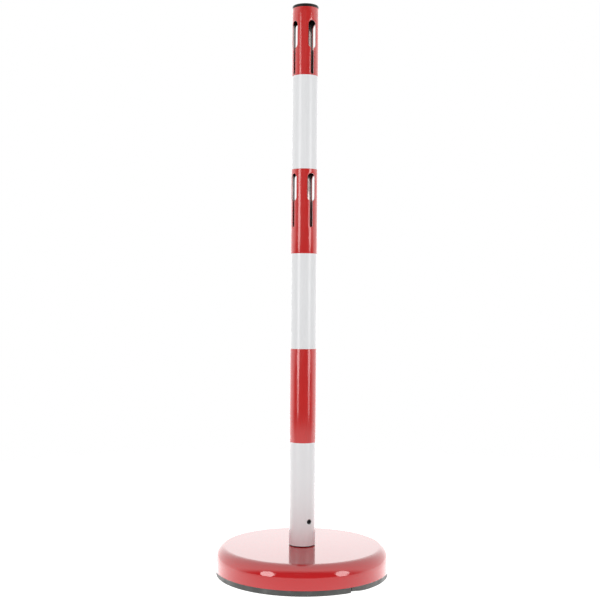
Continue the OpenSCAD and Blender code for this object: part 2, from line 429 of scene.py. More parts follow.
class Sleeve:
    """A tube wall with holes cut straight through its four quarters."""

    ACROSS, BETWEEN = 24, 12  # mesh columns in a window and between two windows
    BORDER = 10 * MM  # height of a window above and below its hole
    OUTER_SHARES, INNER_SHARES = (0.1, 0.25, 0.45, 0.7), (0.35,)  # rings round a hole
    QUARTER_ARC = (0, 30, 60, 90)  # degrees at which a rounded edge has its points
    ROW_GAP = 60 * MM  # the most between two rows of the mesh, away from the holes
    LAP = 0.2, 0.9, 0.25  # start, end and ease of a film's lap, as parts of an arc between holes

    def __init__(
        self, outer, inner, low, high, holes, half_window, edge, end_edge, roll=None, lap=0.0
    ):
        self.outer, self.inner, self.low, self.high = outer, inner, low, high
        self.holes, self.half, self.edge, self.end_edge = holes, half_window, edge, end_edge
        self.roll, self.lap = roll, lap
        self.points, self.faces, self.kinds = [], [], []
        self.windows = []
        spare = end_edge + 0.05 * MM
        for hole in sorted(holes, key=lambda h: h.bottom):
            bottom = max(low + spare, hole.bottom - self.BORDER)
            top = min(high - spare, hole.top + self.BORDER)
            self.windows.append((hole, bottom, top))

    def depth(self, quarter, y, z):
        """How far the punch drew the surface in at a point."""
        if self.roll is None or y is None:
            return 0.0
        deepest, reach = self.roll
        drawn = 0.0
        for hole in self.holes:
            if hole.rolled and quarter in hole.quarters:
                near = max(0.0, hole.distance(y, z))
                if near < reach:
                    drawn = max(drawn, deepest * (1 - near / reach) ** 2)
        return drawn

    def lap_height(self, part):
        """Extra height of a film where it laps over itself: one sharp end, one that eases off."""
        start, end, ease = self.LAP
        if part < start or part > end:
            return 0.0
        return self.lap * min(1.0, (end - part) / ease)

    def add_point(self, radius, quarter, y, part, z):
        """Adds a point at y from a window's middle, or at a part of the arc between two."""
        if y is None:
            start = math.asin(self.half / radius)
            turn = start + (math.pi / 2 - 2 * start) * part
            if self.lap and quarter == 0:
                radius += self.lap_height(part)
        else:
            turn = math.asin(y / radius)
        turn += quarter * math.pi / 2
        self.points.append((radius * math.cos(turn), radius * math.sin(turn), z))
        return len(self.points) - 1

    def columns(self):
        """The mesh columns all round: (quarter, y, share of the arc between windows)."""
        found = []
        for quarter in range(4):
            for k in range(self.ACROSS + 1):
                found.append((quarter, -self.half + 2 * self.half * k / self.ACROSS, None))
            for k in range(1, self.BETWEEN):
                found.append((quarter, None, k / self.BETWEEN))
        return found

    def plain_rows(self, low, high):
        """Mesh rows between two heights that have rows of their own."""
        count = int((high - low) / self.ROW_GAP)
        return [(z, 0.0) for z in np.linspace(low, high, count + 2)[1:-1]]

    def sheet(self, radius, end_rows, shares, rounded):
        """One face of the wall. Returns its lowest and highest ring and each hole's edge ring."""
        columns = self.columns()
        levels = [(z, sunk) for sunk, z in end_rows[0]]
        windows = []
        for hole, bottom, top in self.windows:
            levels += self.plain_rows(levels[-1][0], bottom)
            first = len(levels)
            levels += [(z, 0.0) for z in hole.rows(bottom, top)]
            last = len(levels) - 1
            windows += [(hole, quarter, first, last) for quarter in hole.quarters]
        levels += self.plain_rows(levels[-1][0], end_rows[1][0][1])
        levels += [(z, sunk) for sunk, z in end_rows[1]]
        inside, open_faces = set(), set()
        for hole, quarter, first, last in windows:
            start = quarter * (self.ACROSS + self.BETWEEN)
            for row in range(first, last):
                for k in range(start, start + self.ACROSS):
                    open_faces.add((row, k))
                    if row > first and k > start:
                        inside.add((row, k))
        grid = {}
        for row, (z, sunk) in enumerate(levels):
            for k, (quarter, y, part) in enumerate(columns):
                if (row, k) in inside:
                    continue
                drawn = self.depth(quarter, y, z) if rounded else 0.0
                grid[row, k] = self.add_point(radius - sunk - drawn, quarter, y, part, z)
        kind = 0 if rounded else 2
        for row in range(len(levels) - 1):
            for k in range(len(columns)):
                if (row, k) not in open_faces:
                    after = (k + 1) % len(columns)
                    face = grid[row, k], grid[row, after], grid[row + 1, after], grid[row + 1, k]
                    self.faces.append(face)
                    self.kinds.append(kind)
        edges = []
        for hole, quarter, first, last in windows:
            start = quarter * (self.ACROSS + self.BETWEEN)
            border = [(first, start + k) for k in range(self.ACROSS)]
            border += [(row, start + self.ACROSS) for row in range(first, last)]
            border += [(last, start + k) for k in range(self.ACROSS, 0, -1)]
            border += [(row, start) for row in range(last, first, -1)]
            places = [(columns[k][1], levels[row][0]) for row, k in border]
            border_points = [grid[place] for place in border]
            edge = self.fill_window(radius, hole, quarter, places, border_points, shares, rounded)
            edges.append(edge)
        lowest = [grid[0, k] for k in range(len(columns))]
        highest = [grid[len(levels) - 1, k] for k in range(len(columns))]
        return lowest, highest, edges

    def fill_window(self, radius, hole, quarter, places, border_points, shares, rounded):
        """Rings from a hole's edge out to its window's border. Returns the ring at the edge."""
        rings = []
        for angle in self.QUARTER_ARC if rounded else (90,):
            grow = self.edge * (1 - math.cos(math.radians(angle))) if rounded else 0.0
            sunk = self.edge * (1 - math.sin(math.radians(angle)))
            rings.append([(*hole.edge(y, z, grow), sunk) for y, z in places])
        base = rings[-1]
        for share in shares:
            rings.append(
                [
                    (a + (y - a) * share, b + (z - b) * share, 0.0)
                    for (a, b, _), (y, z) in zip(base, places)
                ]
            )
        made = []
        for line in rings:
            row = []
            for y, z, sunk in line:
                drawn = self.depth(quarter, y, z) if rounded else 0.0
                row.append(self.add_point(radius - sunk - drawn, quarter, y, None, z))
            made.append(row)
        made.append(border_points)
        count = len(border_points)
        for inner, outer in zip(made, made[1:]):
            for k in range(count):
                after = (k + 1) % count
                self.faces.append((outer[k], outer[after], inner[after], inner[k]))
                self.kinds.append(0 if rounded else 2)
        return made[0]

    def build(self):
        """Both faces of the wall, its ends and the walls of its holes."""
        bottom, top = [], []
        for angle in self.QUARTER_ARC:
            across = self.end_edge * (1 - math.sin(math.radians(angle)))
            along = self.end_edge * (1 - math.cos(math.radians(angle)))
            bottom.append((across, self.low + along))
            top.insert(0, (across, self.high - along))
        out_low, out_high, out_edges = self.sheet(
            self.outer, (bottom, top), self.OUTER_SHARES, True
        )
        plain = [(0.0, self.low)], [(0.0, self.high)]
        in_low, in_high, in_edges = self.sheet(self.inner, plain, self.INNER_SHARES, False)
        pairs = [(out_low, in_low, 0), (out_high, in_high, 0)]
        cuts = [hole.wall_kind for hole, _, _ in self.windows for _ in hole.quarters]
        pairs += list(zip(out_edges, in_edges, cuts))
        for one, two, kind in pairs:
            for k in range(len(one)):
                after = (k + 1) % len(one)
                self.faces.append((one[k], one[after], two[after], two[k]))
                self.kinds.append(kind)
        return (self.points, self.faces), self.kinds


# ---------------------------------------------------------------- nodes


def feed(tree, node, *sources):
    """Sets a node's inputs in order, each to a value or from another node's output."""
    for socket, source in zip(node.inputs, sources):
        if isinstance(source, bpy.types.NodeSocket):
            tree.links.new(source, socket)
        else:
            socket.default_value = source
    return node


def sum_of(tree, operation, *sources, kind="ShaderNodeMath"):
    """The result of a sum on values, or on vectors with the other kind of node."""
    node = tree.nodes.new(kind)
    node.operation = operation
    return feed(tree, node, *sources).outputs["Value"]


def smooth_range(tree, source, low, high, out_low=0.0, out_high=1.0):
    """Maps part of a source's range smoothly onto two values."""
    node = tree.nodes.new("ShaderNodeMapRange")
    node.interpolation_type = "SMOOTHSTEP"
    return feed(tree, node, source, low, high, out_low, out_high).outputs["Result"]


def along(tree, place, direction):
    """How far a place lies along a direction."""
    return sum_of(tree, "DOT_PRODUCT", place, direction, kind="ShaderNodeVectorMath")


def blend(tree, part, first, second):
    """One shader where part is 0, another where it is 1."""
    node = tree.nodes.new("ShaderNodeMixShader")
    return feed(tree, node, part, first, second).outputs["Shader"]


def in_reflection(tree, path):
    """Is 1 where gloss or glass shows the thing."""
    return sum_of(
        tree, "MAXIMUM", path.outputs["Is Glossy Ray"], path.outputs["Is Transmission Ray"]
    )


# ---------------------------------------------------------------- finishes


class Finish:
    """A material whose nodes are added one wear or grain at a time."""

    MIDDLE = 0.3, 0.7  # where most of a noise lies

    def __init__(self, name, base, roughness, metallic=0.0, ior=1.5, specular=0.5):
        self.material = bpy.data.materials.new(name)
        self.material.use_nodes = True
        self.tree = self.material.node_tree
        self.nodes, self.links = self.tree.nodes, self.tree.links
        self.shader = self.nodes["Principled BSDF"]
        self.base = (*base, 1.0)
        for socket, value in (
            ("Base Color", self.base),
            ("Roughness", roughness),
            ("Metallic", metallic),
            ("IOR", ior),
            ("Specular IOR Level", specular),
        ):
            self.shader.inputs[socket].default_value = value
        self.material.diffuse_color = self.base
        self.place = self.nodes.new("ShaderNodeTexCoord").outputs["Object"]

    def noise(self, scale, detail, stretch=None, roughness=0.5):
        """A noise of a given number of lumps per metre, stretched along an axis if asked."""
        texture = self.nodes.new("ShaderNodeTexNoise")
        texture.inputs["Scale"].default_value = scale
        texture.inputs["Detail"].default_value = detail
        texture.inputs["Roughness"].default_value = roughness
        place = self.place
        if stretch:
            mapping = self.nodes.new("ShaderNodeMapping")
            mapping.inputs["Scale"].default_value = stretch
            self.links.new(place, mapping.inputs["Vector"])
            place = mapping.outputs["Vector"]
        self.links.new(place, texture.inputs["Vector"])
        return texture.outputs["Fac"]

    def cells(self, scale):
        """Distance to scattered points, a given number of them per metre."""
        texture = self.nodes.new("ShaderNodeTexVoronoi")
        texture.inputs["Scale"].default_value = scale
        self.links.new(self.place, texture.inputs["Vector"])
        return texture.outputs["Distance"]

    def tint(self, source, low, high, factor, least=0.0, most=1.0):
        """Makes the base colour darker or lighter by a factor as the source goes up."""
        mix = self.nodes.new("ShaderNodeMix")
        mix.data_type = "RGBA"
        before = self.shader.inputs["Base Color"]
        if before.is_linked:
            self.links.new(before.links[0].from_socket, mix.inputs[6])
        else:
            mix.inputs[6].default_value = self.base
        mix.inputs[7].default_value = (*(min(1.0, part * factor) for part in self.base[:3]), 1.0)
        self.links.new(smooth_range(self.tree, source, low, high, least, most), mix.inputs[0])
        self.links.new(mix.outputs[2], before)

    def dull(self, source, least, most):
        """Moves the roughness between two values as the source goes up."""
        rough = smooth_range(self.tree, source, *self.MIDDLE, least, most)
        self.links.new(rough, self.shader.inputs["Roughness"])

    def bump(self, source, distance):
        """Adds a relief on top of those that are there."""
        node = self.nodes.new("ShaderNodeBump")
        node.inputs["Distance"].default_value = distance
        node.inputs["Strength"].default_value = 1.0
        self.links.new(source, node.inputs["Height"])
        normal = self.shader.inputs["Normal"]
        if normal.is_linked:
            self.links.new(normal.links[0].from_socket, node.inputs["Normal"])
        self.links.new(node.outputs["Normal"], normal)


def made_once(make):
    """Makes a finish when it is first asked for, under its function's name, and shares it."""

    def get(colours):
        name = make.__name__
        return bpy.data.materials.get(name) or make(name, colours).material

    return get


@made_once
def white_powder_coat(name, colours):
    """Glossy white powder coat with a fine orange peel."""
    finish = Finish(name, colours.white_paint, 0.3, specular=0.36)
    finish.tint(finish.noise(9, 4), 0.35, 0.75, 0.965)
    finish.dull(finish.noise(30, 4), 0.28, 0.33)
    finish.bump(finish.noise(450, 1), 2.0e-5)
    return finish


@made_once
def red_adhesive_film(name, colours):
    """Glossy red film, nearly smooth, over the tube's orange peel."""
    finish = Finish(name, colours.red_film, 0.19)
    finish.tint(finish.noise(14, 3), 0.35, 0.7, 0.93)
    finish.dull(finish.noise(40, 3), 0.165, 0.215)
    finish.bump(finish.noise(300, 1), 1.4e-5)
    return finish


@made_once
def red_baked_enamel(name, colours):
    """Glossy red baked enamel on the pressed cover."""
    finish = Finish(name, colours.red_enamel, 0.08)
    finish.tint(finish.noise(11, 4), 0.35, 0.7, 0.94)
    finish.dull(finish.noise(24, 4), 0.06, 0.11)
    finish.bump(finish.noise(260, 1), 0.35e-5)
    return finish


@made_once
def bare_sheet_steel(name, colours):
    """Dark unpainted sheet steel with drawn streaks."""
    finish = Finish(name, colours.bare_steel, 0.2, metallic=1.0)
    finish.tint(finish.noise(30, 5), 0.4, 0.75, 0.55)
    finish.dull(finish.noise(60, 3), 0.17, 0.25)
    finish.bump(finish.noise(1, 3, stretch=(1500, 1500, 25)), 0.4e-5)
    return finish


@made_once
def black_moulded_cap(name, colours):
    """Satin black polyethylene with a fine spark-eroded grain."""
    finish = Finish(name, colours.black_plastic, 0.5, specular=0.14)
    finish.tint(finish.noise(25, 4), 0.4, 0.7, 1.5)
    finish.dull(finish.noise(90, 3), 0.44, 0.56)
    finish.bump(finish.noise(1800, 2), 2.5e-5)
    return finish


@made_once
def black_oxide_steel(name, colours):
    """Black-oxide steel with a thin oil sheen. On the spigot's flange the same dark finish is
    painted shade for the gap under the tube's foot.
    """
    finish = Finish(name, colours.black_oxide, 0.4, specular=0.25)
    finish.tint(finish.noise(160, 4), 0.45, 0.75, 2.2)
    finish.dull(finish.noise(220, 3), 0.28, 0.42)
    finish.bump(finish.noise(2500, 2), 1.0e-5)
    return finish


@made_once
def edge_rubber(name, colours):
    """Dark rubber with a matt skin, paler where it is scuffed or dusty."""
    finish = Finish(name, colours.rubber, 0.6, ior=1.45)
    finish.tint(finish.noise(70, 6), 0.45, 0.8, 1.7)
    finish.dull(finish.noise(55, 4), 0.5, 0.72)
    finish.bump(finish.noise(900, 4), 6.0e-5)
    finish.bump(finish.noise(1, 2, stretch=(40, 40, 1100)), 3.0e-5)
    return finish


@made_once
def zinc_plated_steel(name, colours):
    """Zinc plate over turned or pressed steel."""
    finish = Finish(name, colours.zinc, 0.33, metallic=1.0)
    finish.tint(finish.noise(60, 5), 0.35, 0.75, 0.78)
    finish.dull(finish.noise(140, 4), 0.26, 0.44)
    finish.bump(finish.noise(1, 2, stretch=(30, 30, 2600)), 1.2e-5)
    return finish


@made_once
def cast_concrete(name, colours):
    """Cast concrete with sand, stones showing faintly, and small air holes darkened with painted
    shade.
    """
    finish = Finish(name, colours.concrete, 0.88, ior=1.4)
    finish.tint(finish.noise(22, 7), 0.4, 0.68, 0.78)
    finish.tint(finish.noise(340, 5), 0.56, 0.72, 1.35, most=0.6)
    # Painted shade: the colour goes darker inside the small air holes.
    finish.tint(finish.cells(150), 0.10, 0.17, 0.45, least=0.75, most=0.0)
    finish.dull(finish.noise(80, 4), 0.8, 0.95)
    finish.bump(finish.noise(420, 6, roughness=0.65), 2.5e-4)
    finish.bump(smooth_range(finish.tree, finish.cells(150), 0.08, 0.2), 6.0e-4)
    return finish


# ---------------------------------------------------------------- operators


class STANCHION_OT_tube(Operator):
    """Make the painted tube with its eight punched keyhole slots and its screw hole"""

    bl_idname = "stanchion.tube"
    bl_label = "Tube"
    bl_options = {"REGISTER", "UNDO"}

    def execute(self, context):
        scene = context.scene
        sizes, colours = scene.stanchion_post, scene.stanchion_finishes
        holes = [Keyhole(centre, sizes) for centre in SLOT_CENTRES]
        holes.append(RoundHole(SCREW_HEIGHT, SCREW_HOLE, FRONT))
        sleeve = Sleeve(
            sizes.radius,
            sizes.radius - sizes.wall,
            TUBE_LOW.z,
            TUBE_HIGH.z,
            holes,
            half_window=HALF_WINDOW,
            edge=sizes.punched_edge,
            end_edge=0.3 * MM,
            roll=(sizes.roll_depth, sizes.roll_width),
        )
        shape, kinds = sleeve.build()
        paint = white_powder_coat(colours), red_adhesive_film(colours), bare_sheet_steel(colours)
        add_piece(
            "painted_tube", shape, "post", "post_tube", paint, face_materials=kinds
        )
        return {"FINISHED"}


class STANCHION_OT_films(Operator):
    """Make the three red films wrapped round the tube and cut out over its slots"""

    bl_idname = "stanchion.films"
    bl_label = "Red films"
    bl_options = {"REGISTER", "UNDO"}
    EDGE = 0.08 * MM

    def execute(self, context):
        scene = context.scene
        sizes, colours = scene.stanchion_post, scene.stanchion_finishes
        film = red_adhesive_film(colours)
        for place in ("top", "middle", "lower"):
            node = "red_band_" + place
            low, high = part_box(node)
            holes = [
                Keyhole(centre, sizes, grow=sizes.film_set_back)
                for centre in SLOT_CENTRES
                if low.z < centre < high.z
            ]
            sleeve = Sleeve(
                high.x,
                sizes.radius,
                low.z,
                high.z,
                holes,
                half_window=HALF_WINDOW,
                edge=self.EDGE,
                end_edge=self.EDGE,
                roll=(sizes.roll_depth, sizes.roll_width),
                lap=sizes.film_overlap,
            )
            shape, _ = sleeve.build()
            add_piece("film_" + place, shape, "post", node, (film,), sharp=40)
        return {"FINISHED"}


class STANCHION_OT_cap(Operator):
    """Make the moulded cap with its hollow plug and barbed grip rings"""

    bl_idname = "stanchion.cap"
    bl_label = "Cap"
    bl_options = {"REGISTER", "UNDO"}

    def execute(self, context):
        scene = context.scene
        sizes, colours = scene.stanchion_post, scene.stanchion_finishes
        seat, top, low = TUBE_HIGH.z, CAP_HIGH.z, CAP_LOW.z
        rim = CAP_HIGH.x
        plug = sizes.radius - sizes.wall - 0.5 * MM
        grip, ring_height, pitch, first = plug + 0.42 * MM, 1.2 * MM, 3.45 * MM, low + 1.0 * MM
        dimple = top - 0.35 * MM
        corners = [
            (0.0, dimple, 0),
            (1.4 * MM, dimple, 0.15 * MM),
            (1.9 * MM, top, 0.25 * MM),
            (rim, top, sizes.cap_edge),
            (rim, seat, 0.3 * MM),
            (plug, seat, 0.15 * MM),
        ]
        for k in (3, 2, 1, 0):
            step = first + k * pitch
            corners += [
                (plug, step + ring_height, 0),
                (grip, step + ring_height, 0.08 * MM),
                (grip, step + 0.8 * MM, 0.08 * MM),
                (plug, step, 0),
            ]
        bore = plug - sizes.cap_wall
        corners += [
            (plug - 0.1 * MM, low, 0.3 * MM),
            (bore, low, 0.3 * MM),
            (bore, seat, 0.8 * MM),
            (0.0, seat, 0),
        ]
        shape = revolve(soften(corners, steps=6, support=0.3 * MM), 128, closed=False)
        plastic = (black_moulded_cap(colours),)
        add_piece("moulded_cap", shape, "cap", "top_cap", plastic, sharp=40)
        return {"FINISHED"}


class STANCHION_OT_bush(Operator):
    """Make the bored bush in the tube's foot, with its hole for the clamping screw"""

    bl_idname = "stanchion.bush"
    bl_label = "Foot bush"
    bl_options = {"REGISTER", "UNDO"}

    def execute(self, context):
        colours = context.scene.stanchion_finishes
        sleeve = Sleeve(
            BUSH_HIGH.x,
            BUSH_BORE,
            BUSH_LOW.z,
            BUSH_HIGH.z,
            [RoundHole(SCREW_HEIGHT, TAPPED_HOLE, FRONT)],
            half_window=7 * MM,
            edge=0.4 * MM,
            end_edge=0.8 * MM,
        )
        shape, _ = sleeve.build()
        zinc = (zinc_plated_steel(colours),)
        add_piece("bored_bush", shape, "post", "foot_bush", zinc, sharp=40)
        return {"FINISHED"}


class STANCHION_OT_screw(Operator):
    """Make the threaded clamping screw with its hexagon socket"""

    bl_idname = "stanchion.screw"
    bl_label = "Clamping screw"
    bl_options = {"REGISTER", "UNDO"}

    def execute(self, context):
        colours = context.scene.stanchion_finishes
        count, crest = 48, (SCREW_HIGH.x - SCREW_LOW.x) / 2
        pitch, depth = 1.25 * MM, 0.72 * MM
        tip, end = -SCREW_HIGH.y, -SCREW_LOW.y
        socket, deep = 4.0 * MM, 4.0 * MM
        corners = hexagon_radius(socket, count)
        rings = [
            ring(0.0, tip + 0.8 * MM, count),
            ring(1.5 * MM, tip + 0.25 * MM, count),
            ring(1.9 * MM, tip, count),
            ring(3.0 * MM, tip, count),
        ]
        thread = tip + 0.35 * MM, end - 0.3 * MM
        rings += thread_rings(crest, pitch, depth, *thread, count, 10)
        rings += [
            ring(crest - 0.95 * MM, end - 0.03 * MM, count),
            ring(crest - 1.1 * MM, end, count),
            ring(corners + 0.25 * MM, end, count),
            ring(corners, end - 0.2 * MM, count),
            ring(corners, end - deep, count),
            ring(0.0, end - deep - 0.7 * MM, count),
        ]
        lay_down = Matrix(((1, 0, 0, 0), (0, 0, -1, 0), (0, 1, 0, SCREW_HEIGHT), (0, 0, 0, 1)))
        add_piece(
            "socket_screw",
            loft(rings),
            "screw",
            "foot_screw",
            (black_oxide_steel(colours),),
            sharp=30,
            shift=lay_down,
        )
        return {"FINISHED"}


class STANCHION_OT_cover(Operator):
    """Make the pressed cover with its big rounded rim"""

    bl_idname = "stanchion.cover"
    bl_label = "Base cover"
    bl_options = {"REGISTER", "UNDO"}

    def execute(self, context):
        scene = context.scene
        sizes, colours = scene.stanchion_base, scene.stanchion_finishes
        sheet, across, down, hole = sizes.cover_sheet, sizes.rim_across, sizes.rim_down, 6.5 * MM
        rim, top, low = COVER_HIGH.x, COVER_HIGH.z, COVER_LOW.z
        inner_rim, support, turns = rim - sheet, 0.5 * MM, 288
        skirt = [(rim, top - down - support, 0), (rim, low, 0.5 * MM), (inner_rim, low, 0)]
        outside = np.concatenate(
            (
                [(hole, top), (rim - across - support, top)],
                rim_curve(rim, top, across, down, 32),
                soften(skirt),
            )
        )
        inside = np.concatenate(
            (
                [(inner_rim, low + 0.3 * MM)],
                rim_curve(inner_rim, top - sheet, across - sheet, down - sheet, 24)[::-1],
                [(hole, top - sheet)],
            )
        )
        shape = revolve(np.concatenate((outside, inside)), turns)
        kinds = ([0] * len(outside) + [1] * len(inside)) * turns
        paint = red_baked_enamel(colours), bare_sheet_steel(colours)
        add_piece(
            "pressed_cover", shape, "base", "base_cover", paint, face_materials=kinds
        )
        return {"FINISHED"}


class STANCHION_OT_ballast(Operator):
    """Make the cast ballast with its uneven underside"""

    bl_idname = "stanchion.ballast"
    bl_label = "Ballast"
    bl_options = {"REGISTER", "UNDO"}
    HOLE = 7 * MM  # radius
    LUMPS, GRIT, AIR_HOLES = 60, 190, 330  # how close they lie, per metre

    def execute(self, context):
        scene = context.scene
        base, colours = scene.stanchion_base, scene.stanchion_finishes
        wide, top, low = BALLAST_HIGH.x, BALLAST_HIGH.z, BALLAST_LOW.z
        ledge, neck = 18.0 * MM, wide - 3.3 * MM
        recess, ceiling = base.recess_radius, low + base.recess_depth
        inset = COVER_HIGH.x - wide
        rounded = rim_curve(wide, top, base.rim_across - inset, base.rim_down - inset, 16)
        side = [
            (wide, rounded[-1][1] - 0.5 * MM, 0),
            (wide, ledge, 0.8 * MM),
            (neck, ledge, 0.4 * MM),
            (neck, low, 1.2 * MM),
            (recess, low, 0),
        ]
        lip = [
            (recess + 2.4 * MM, low, 0),
            (recess, low, 1.5 * MM),
            (recess, ceiling, 1.5 * MM),
        ]
        profile = [(self.HOLE, top), *rounded, *soften(side, 8)[:-1]]
        profile += [(r, low) for r in np.linspace(neck - 3 * MM, recess + 2.4 * MM, 34)]
        profile += list(soften(lip, 6)[1:-1])
        profile += [(recess, z) for z in np.linspace(low + 3 * MM, ceiling - 1 * MM, 7)]
        profile += [(r, ceiling) for r in np.linspace(recess - 1 * MM, self.HOLE, 12)]
        points, faces = revolve(np.array(profile), 240)
        cast = [self.roughen(point, low, recess, ceiling) for point in points], faces
        concrete = (cast_concrete(colours),)
        add_piece("cast_ballast", cast, "base", "ballast", concrete, sharp=50)
        return {"FINISHED"}

    def roughen(self, point, low, recess, ceiling):
        """Moves a point of the underside or of the recess, where the concrete shows."""
        x, y, z = point
        place, away = Vector(point), math.hypot(x, y)
        lumps = noise.noise(place * self.LUMPS) * 0.25 + noise.noise(place * self.GRIT) * 0.16
        hollows = noise.noise(Vector((x + 3, y, z)) * self.AIR_HOLES)
        amount = (lumps - max(0.0, hollows - 0.35) * 1.1) * MM
        if z < low + 0.5 * MM:
            return x, y, z + max(0.0, 0.25 * MM - amount)
        if self.HOLE + 1 * MM < away < recess + 1 * MM and z < ceiling + 1 * MM:
            scale = 1 + (0.2 * MM + abs(amount)) / away
            return x * scale, y * scale, z
        return point


class STANCHION_OT_rubber(Operator):
    """Make the rubber edge with its butt joint at the front and its grooved underside"""

    bl_idname = "stanchion.rubber"
    bl_label = "Rubber edge"
    bl_options = {"REGISTER", "UNDO"}

    def execute(self, context):
        scene = context.scene
        sizes, colours = scene.stanchion_base, scene.stanchion_finishes
        out, top, foot = RUBBER_HIGH.x, RUBBER_HIGH.z, sizes.rubber_foot_height
        inner, wall = out - sizes.rubber_foot, out - sizes.rubber_wall
        corners = [
            (wall, foot, 0.5 * MM),
            (wall, top, 0.6 * MM),
            (out, top, 0.6 * MM),
            (out, 0.0, sizes.rubber_round),
        ]
        for groove in (out - 5 * MM, out - 9.5 * MM, out - 14 * MM):
            corners += [
                (groove + 0.9 * MM, 0.0, 0.2 * MM),
                (groove + 0.5 * MM, 0.8 * MM, 0.2 * MM),
                (groove - 0.5 * MM, 0.8 * MM, 0.2 * MM),
                (groove - 0.9 * MM, 0.0, 0.2 * MM),
            ]
        corners += [(inner, 0.0, 0.8 * MM), (inner, foot, 0.6 * MM)]
        section = soften(corners, steps=4, closed=True, support=0.4 * MM)
        middle = section.mean(axis=0)
        half_gap = sizes.joint_gap / 2 / out
        start, end = -math.pi / 2 + half_gap, 1.5 * math.pi - half_gap
        ease = np.array((0.0, 0.3, 0.8, 2.0, 4.0, 7.0, 11.0, 16.0, 22.0, 30.0)) * MM / out
        even = np.linspace(start + 0.24, end - 0.24, 260)
        end_shrink, end_round = 0.5 * MM / (12 * MM), 0.8 * MM
        lift_reach, pull_in, pull_reach = 17 * MM, 0.25 * MM, 9 * MM
        rings = []
        for turn in np.concatenate((start + ease, even, end - ease[::-1])):
            from_right, from_left = (turn - start) * out, (end - turn) * out
            near = min(from_right, from_left)
            shrink = 1 - end_shrink * max(0.0, 1 - near / end_round) ** 2
            shape = middle + (section - middle) * shrink
            lift = sizes.joint_lift * math.exp(-((from_right / lift_reach) ** 2))
            z = shape[:, 1] + lift * np.clip(1 - shape[:, 1] / top, 0, 1)
            r = shape[:, 0] - pull_in * math.exp(-((near / pull_reach) ** 2))
            rings.append(at_turn(np.column_stack((r, z)), turn))
        rubber, shape = (edge_rubber(colours),), capped_loft(rings)
        add_piece("rubber_edge", shape, "base", "rubber_ring", rubber, sharp=45)
        return {"FINISHED"}


class STANCHION_OT_spigot(Operator):
    """Make the turned spigot that the post stands on"""

    bl_idname = "stanchion.spigot"
    bl_label = "Spigot"
    bl_options = {"REGISTER", "UNDO"}

    def execute(self, context):
        colours = context.scene.stanchion_finishes
        low, top, flange = SPIGOT_LOW.z, SPIGOT_HIGH.z, SPIGOT_HIGH.x
        seat, shoulder = TUBE_LOW.z, TUBE_LOW.z + 6 * MM
        step, bar, bore = 20.92 * MM, 13.5 * MM, 6.08 * MM  # radii
        corners = [
            (0.0, low + 33.5 * MM, 0),
            (bore, low + 31.5 * MM, 0),
            (bore, low, 0.3 * MM),
            (flange, low, 0.2 * MM),
            (flange, seat, 0.3 * MM),
            (step, seat, 0.2 * MM),
            (step, shoulder, 0.8 * MM),
            (bar, shoulder, 1.0 * MM),
            (bar, top - 2 * MM, 0.3 * MM),
            (bar - 2 * MM, top, 0.3 * MM),
            (3.2 * MM, top, 0.1 * MM),
            (1.6 * MM, top - 1.6 * MM, 0.1 * MM),
            (1.4 * MM, top - 3.5 * MM, 0.1 * MM),
            (0.0, top - 4.2 * MM, 0),
        ]
        turns = 128
        profile = soften(corners, steps=4, support=0.4 * MM)
        shape = revolve(profile, turns, closed=False)
        # The flange's faces take the black finish as painted shade: it stands for the dark gap
        # under the tube's foot.
        flange_painted_shade = [int((a[0] + b[0]) / 2 > step) for a, b in zip(profile, profile[1:])]
        add_piece(
            "turned_spigot",
            shape,
            "base",
            "spigot",
            (zinc_plated_steel(colours), black_oxide_steel(colours)),
            sharp=30,
            face_materials=flange_painted_shade * turns,
        )
        return {"FINISHED"}


class STANCHION_OT_fasteners(Operator):
    """Make the centre bolt from below with its plain washer and its split lock washer"""

    bl_idname = "stanchion.fasteners"
    bl_label = "Centre bolt and washers"
    bl_options = {"REGISTER", "UNDO"}

    def execute(self, context):
        zinc = (zinc_plated_steel(context.scene.stanchion_finishes),)
        self.make_bolt(zinc)
        low, high = WASHER_LOW.z, WASHER_HIGH.z
        section = box_section(6.5 * MM, WASHER_HIGH.x, low, high, 0.35 * MM, 4)
        shape = revolve(section, 96)
        add_piece("plain_washer", shape, "base", "centre_washer", zinc, sharp=40)
        self.make_lock_washer(zinc)
        return {"FINISHED"}

    @staticmethod
    def make_bolt(zinc):
        """The bolt, with its chamfered head below and its thread above."""
        count, across_flats, face, slope = 48, 19 * MM, 8.9 * MM, math.radians(28)
        crest, pitch, depth = 6.0 * MM, 1.75 * MM, 1.0 * MM
        low, head_top, top = BOLT_LOW.z, LOCK_LOW.z, BOLT_HIGH.z
        flats = hexagon_radius(across_flats, count)
        chamfer = np.maximum(0.0, flats - face) * math.tan(slope)
        rings = [
            ring(0.0, low + 0.25 * MM, count),
            ring(6.6 * MM, low + 0.25 * MM, count),
            ring(7.4 * MM, low, count),
            ring(face, low, count),
            ring(flats - 0.05 * MM, low + chamfer, count),
            ring(flats, low + chamfer + 0.1 * MM, count),
            ring(flats, head_top - 0.15 * MM, count),
            ring(flats - 0.15 * MM, head_top, count),
            ring(6.2 * MM, head_top, count),
        ]
        thread = head_top + 0.1 * MM, top - 0.6 * MM
        rings += thread_rings(crest, pitch, depth, *thread, count, 8)
        rings += [ring(4.6 * MM, top, count), ring(0.0, top, count)]
        shape = loft(rings)
        add_piece("hexagon_bolt", shape, "base", "centre_bolt", zinc, sharp=30)

    @staticmethod
    def make_lock_washer(zinc):
        """The split washer, whose cut slants and is turned to the front."""
        inner, outer, low, high = 6.2 * MM, LOCK_HIGH.x, LOCK_LOW.z, LOCK_HIGH.z
        section = box_section(inner, outer, low, high, 0.3 * MM, 3)
        gap, lean = 1.5 * MM, 0.35
        half_gap = gap / (inner + outer)
        slant = (section[:, 1] - (low + high) / 2) * lean / outer
        turns = np.linspace(-math.pi / 2 + half_gap, 1.5 * math.pi - half_gap, 72)
        shape = capped_loft([at_turn(section, turn + slant) for turn in turns])
        add_piece("split_washer", shape, "base", "lock_washer", zinc, sharp=40)


